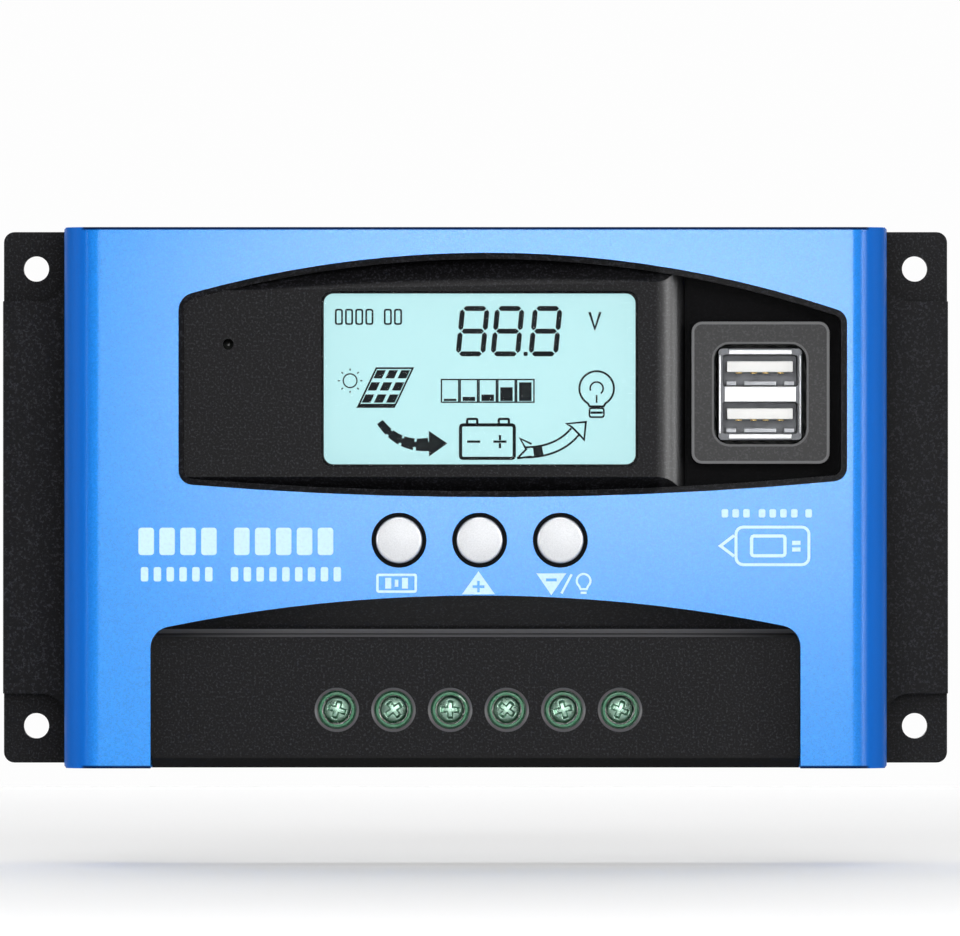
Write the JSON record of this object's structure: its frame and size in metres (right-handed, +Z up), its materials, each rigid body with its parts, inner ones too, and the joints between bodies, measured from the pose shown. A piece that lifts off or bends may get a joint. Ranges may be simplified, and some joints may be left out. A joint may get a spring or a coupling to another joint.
{
  "type": "solar charge controller",
  "caption": "Wall-mounted solar charge controller with a blue shell, black display panel, lit display, push keys, stacked USB sockets and screw terminals.",
  "frame": {"origin": "centre of the four mounting holes, in the back plane that lies against the wall", "axes": "+X to the right seen from the front, +Y into the wall, +Z up; the face looks along -Y and the wires enter from below"},
  "size_m": [0.16, 0.0445, 0.0906],
  "materials": {
    "black_abs": "fine spark texture",
    "blue_cover": "satin metallic paint",
    "clear_lens": "polished",
    "display_glass": "lit pale cyan, dark segments",
    "diffuser": "satin",
    "circuit_board": "solder resist",
    "socket_steel": "nickel plate",
    "socket_plastic": "satin",
    "gold_contact": "gold flash",
    "key_plastic": "satin silver white",
    "black_part": "moulded",
    "led_epoxy": "clear",
    "terminal_plastic": "moulded",
    "tinned_metal": "tin plate",
    "clamp_steel": "zinc plate",
    "screw_steel": "nickel plate",
    "sink_aluminium": "extruded",
    "pad_rubber": "soft matte",
    "capacitor_sleeve": "shrink sleeve",
    "ferrite": "sintered",
    "copper_wire": "enamelled",
    "fuse_plastic": "translucent",
    "shunt_alloy": "bare",
    "nylon": "natural"
  },
  "bodies": {
    "controller": {"base_tray": "black_abs", "heat_sink": "sink_aluminium", "front_cover": "blue_cover", "display_bezel": "black_abs", "terminal_cover": "black_abs", "button_guide": "black_part", "display_window": "clear_lens", "lcd_glass": "display_glass", "lcd_backlight": "diffuser", "display_board": "circuit_board", "main_board": "circuit_board", "usb_board": "circuit_board", "usb_shell": "socket_steel", "usb_insulator": "socket_plastic", "usb_contacts": "gold_contact", "key_switches": "black_part", "status_led": "led_epoxy", "terminal_housings": "terminal_plastic", "terminal_bars": "tinned_metal", "power_transistors": "black_part", "transistor_tabs": "tinned_metal", "transistor_leads": "tinned_metal", "thermal_pads": "pad_rubber", "transistor_screws": "screw_steel", "capacitors": "capacitor_sleeve", "capacitor_tops": "sink_aluminium", "choke_core": "ferrite", "choke_coil": "copper_wire", "fuses": "fuse_plastic", "fuse_blades": "tinned_metal", "control_chip": "black_part", "chip_legs": "tinned_metal", "small_chips": "black_part", "current_shunt": "shunt_alloy", "header_bodies": "black_part", "header_pins": "gold_contact", "usb_spacers": "nylon", "case_screws": "screw_steel", "heat_sink_screws": "screw_steel", "board_screws": "screw_steel", "display_screws": "screw_steel"},
    "menu_key": {"menu_button": "key_plastic", "menu_plunger": "black_part"},
    "plus_key": {"plus_button": "key_plastic", "plus_plunger": "black_part"},
    "minus_key": {"minus_button": "key_plastic", "minus_plunger": "black_part"},
    "screw_1": {"clamp_screw_1": "screw_steel"},
    "cage_1": {"clamp_cage_1": "clamp_steel"},
    "screw_2": {"clamp_screw_2": "screw_steel"},
    "cage_2": {"clamp_cage_2": "clamp_steel"},
    "screw_3": {"clamp_screw_3": "screw_steel"},
    "cage_3": {"clamp_cage_3": "clamp_steel"},
    "screw_4": {"clamp_screw_4": "screw_steel"},
    "cage_4": {"clamp_cage_4": "clamp_steel"},
    "screw_5": {"clamp_screw_5": "screw_steel"},
    "cage_5": {"clamp_cage_5": "clamp_steel"},
    "screw_6": {"clamp_screw_6": "screw_steel"},
    "cage_6": {"clamp_cage_6": "clamp_steel"}
  },
  "joints": [
    {"name": "menu_press", "type": "slide", "parent": "controller", "child": "menu_key", "axis": [0, 1, 0], "range_m": [0, 0.0005], "stiffness_N_per_m": 2400, "springref_m": -0.0002},
    {"name": "plus_press", "type": "slide", "parent": "controller", "child": "plus_key", "axis": [0, 1, 0], "range_m": [0, 0.0005], "stiffness_N_per_m": 2400, "springref_m": -0.0002},
    {"name": "minus_press", "type": "slide", "parent": "controller", "child": "minus_key", "axis": [0, 1, 0], "range_m": [0, 0.0005], "stiffness_N_per_m": 2400, "springref_m": -0.0002},
    {"name": "cage_1_lift", "type": "slide", "parent": "controller", "child": "cage_1", "axis": [0, -1, 0], "range_m": [0, 0.0025]},
    {"name": "screw_1_turn", "type": "hinge", "parent": "controller", "child": "screw_1", "pos_m": [-0.02325, -0.028, -0.0356], "axis": [0, 1, 0], "range_deg": [0, 1801]},
    {"name": "cage_2_lift", "type": "slide", "parent": "controller", "child": "cage_2", "axis": [0, -1, 0], "range_m": [0, 0.0025]},
    {"name": "screw_2_turn", "type": "hinge", "parent": "controller", "child": "screw_2", "pos_m": [-0.01375, -0.028, -0.0356], "axis": [0, 1, 0], "range_deg": [0, 1801]},
    {"name": "cage_3_lift", "type": "slide", "parent": "controller", "child": "cage_3", "axis": [0, -1, 0], "range_m": [0, 0.0025]},
    {"name": "screw_3_turn", "type": "hinge", "parent": "controller", "child": "screw_3", "pos_m": [-0.00425, -0.028, -0.0356], "axis": [0, 1, 0], "range_deg": [0, 1801]},
    {"name": "cage_4_lift", "type": "slide", "parent": "controller", "child": "cage_4", "axis": [0, -1, 0], "range_m": [0, 0.0025]},
    {"name": "screw_4_turn", "type": "hinge", "parent": "controller", "child": "screw_4", "pos_m": [0.00525, -0.028, -0.0356], "axis": [0, 1, 0], "range_deg": [0, 1801]},
    {"name": "cage_5_lift", "type": "slide", "parent": "controller", "child": "cage_5", "axis": [0, -1, 0], "range_m": [0, 0.0025]},
    {"name": "screw_5_turn", "type": "hinge", "parent": "controller", "child": "screw_5", "pos_m": [0.01475, -0.028, -0.0356], "axis": [0, 1, 0], "range_deg": [0, 1801]},
    {"name": "cage_6_lift", "type": "slide", "parent": "controller", "child": "cage_6", "axis": [0, -1, 0], "range_m": [0, 0.0025]},
    {"name": "screw_6_turn", "type": "hinge", "parent": "controller", "child": "screw_6", "pos_m": [0.02425, -0.028, -0.0356], "axis": [0, 1, 0], "range_deg": [0, 1801]}
  ],
  "couplings": [
    {"joint": "screw_1_turn", "follows": "cage_1_lift", "rad_per_m": 12566},
    {"joint": "screw_2_turn", "follows": "cage_2_lift", "rad_per_m": 12566},
    {"joint": "screw_3_turn", "follows": "cage_3_lift", "rad_per_m": 12566},
    {"joint": "screw_4_turn", "follows": "cage_4_lift", "rad_per_m": 12566},
    {"joint": "screw_5_turn", "follows": "cage_5_lift", "rad_per_m": 12566},
    {"joint": "screw_6_turn", "follows": "cage_6_lift", "rad_per_m": 12566}
  ]
}
